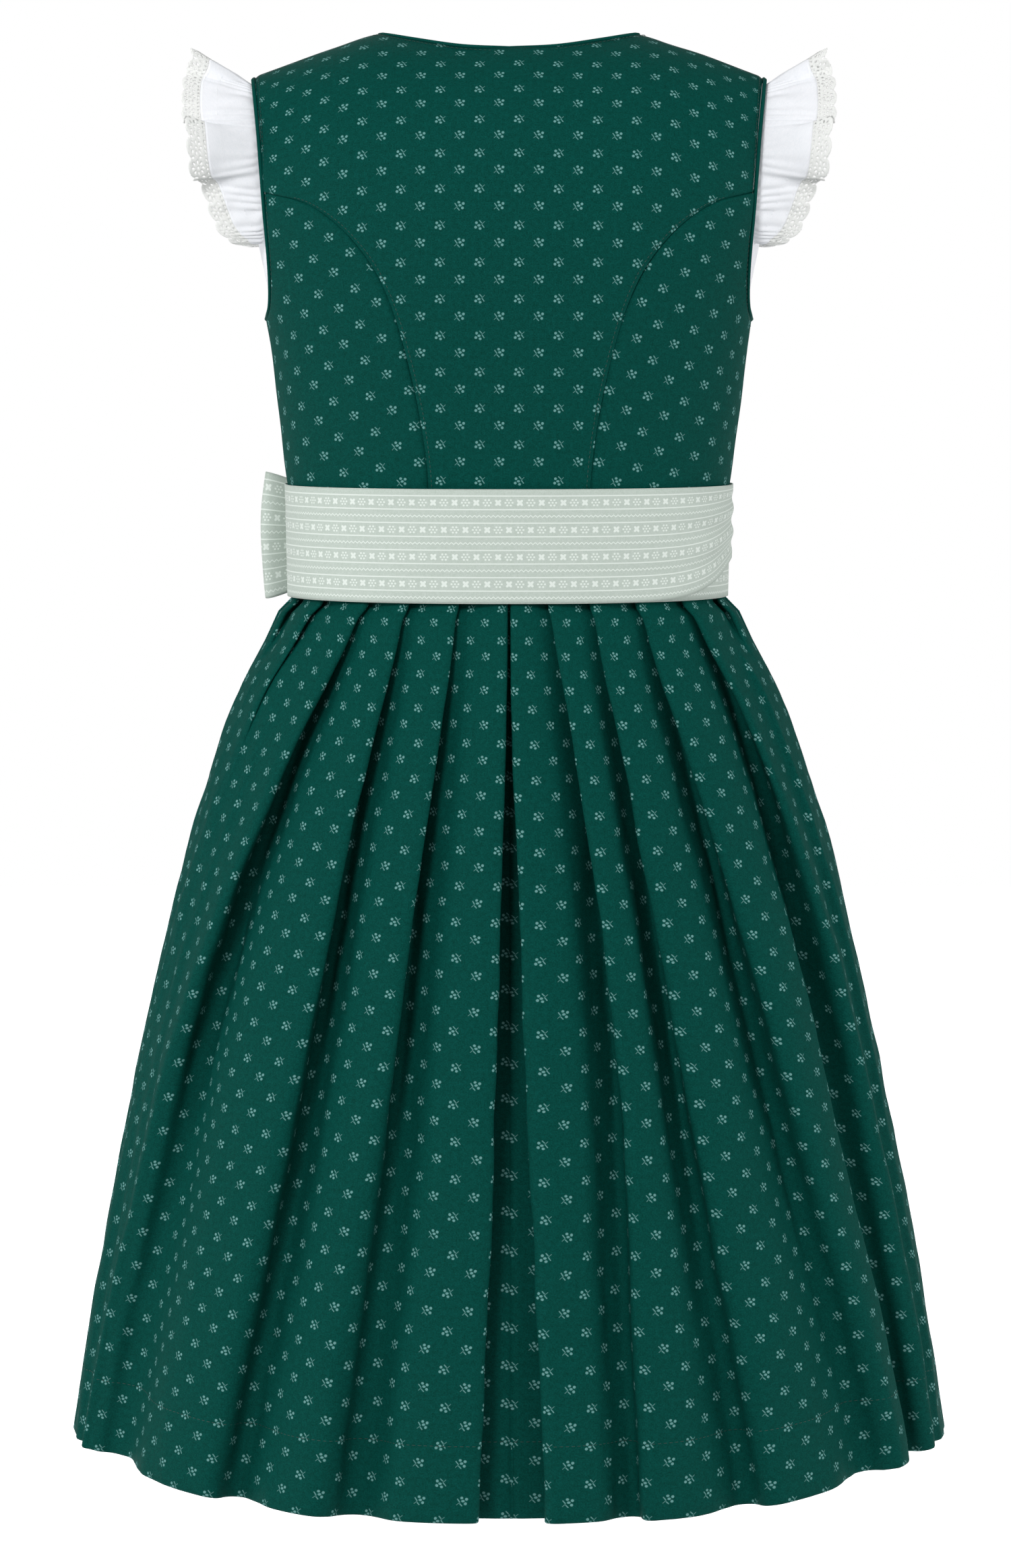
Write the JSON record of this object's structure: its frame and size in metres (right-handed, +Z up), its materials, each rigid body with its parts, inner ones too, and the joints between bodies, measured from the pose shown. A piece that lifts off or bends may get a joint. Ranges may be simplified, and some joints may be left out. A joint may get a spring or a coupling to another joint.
{
  "type": "dirndl dress",
  "caption": "Girl's dirndl with a fitted bodice, ruffle-sleeved blouse, pleated skirt and an apron tied with a wide sash and bow.",
  "frame": {"origin": "midway between the shoulders at the height where the dress rests on them, in the plane of the side seams", "axes": "+Z up along the body, +X to the wearer's left, +Y to the wearer's back, so the front faces -Y"},
  "size_m": [0.4614, 0.3685, 0.741],
  "materials": {
    "dress_cloth": "dark green cotton sateen with a small scattered flower print",
    "blouse_cloth": "plain white cotton",
    "lace": "off-white eyelet lace with a scalloped edge",
    "apron_cloth": "sage green jacquard with white woven lines and small blossoms",
    "button": "matte horn-like buttons"
  },
  "bodies": {
    "root": {"bodice_back_centre": "dress_cloth", "bodice_back_side_left": "dress_cloth", "bodice_back_side_right": "dress_cloth", "bodice_front_left": "dress_cloth", "bodice_front_right": "dress_cloth", "armhole_binding_left": "dress_cloth", "armhole_binding_right": "dress_cloth", "neck_binding": "dress_cloth", "blouse_back": "blouse_cloth", "blouse_front_left": "blouse_cloth", "blouse_front_right": "blouse_cloth", "sleeve_left": "blouse_cloth", "sleeve_right": "blouse_cloth", "sleeve_lace_left": "lace", "sleeve_lace_right": "lace", "skirt_back_left": "dress_cloth", "skirt_back_right": "dress_cloth", "skirt_front": "dress_cloth", "apron_panel": "apron_cloth", "sash_first_turn": "apron_cloth", "sash_second_turn": "apron_cloth", "bow_knot": "apron_cloth", "bow_loop_left": "apron_cloth", "bow_loop_right": "apron_cloth", "bow_tail_left": "apron_cloth", "bow_tail_right": "apron_cloth", "button_1": "button", "button_2": "button", "button_3": "button", "button_4": "button", "button_5": "button"}
  },
  "joints": []
}
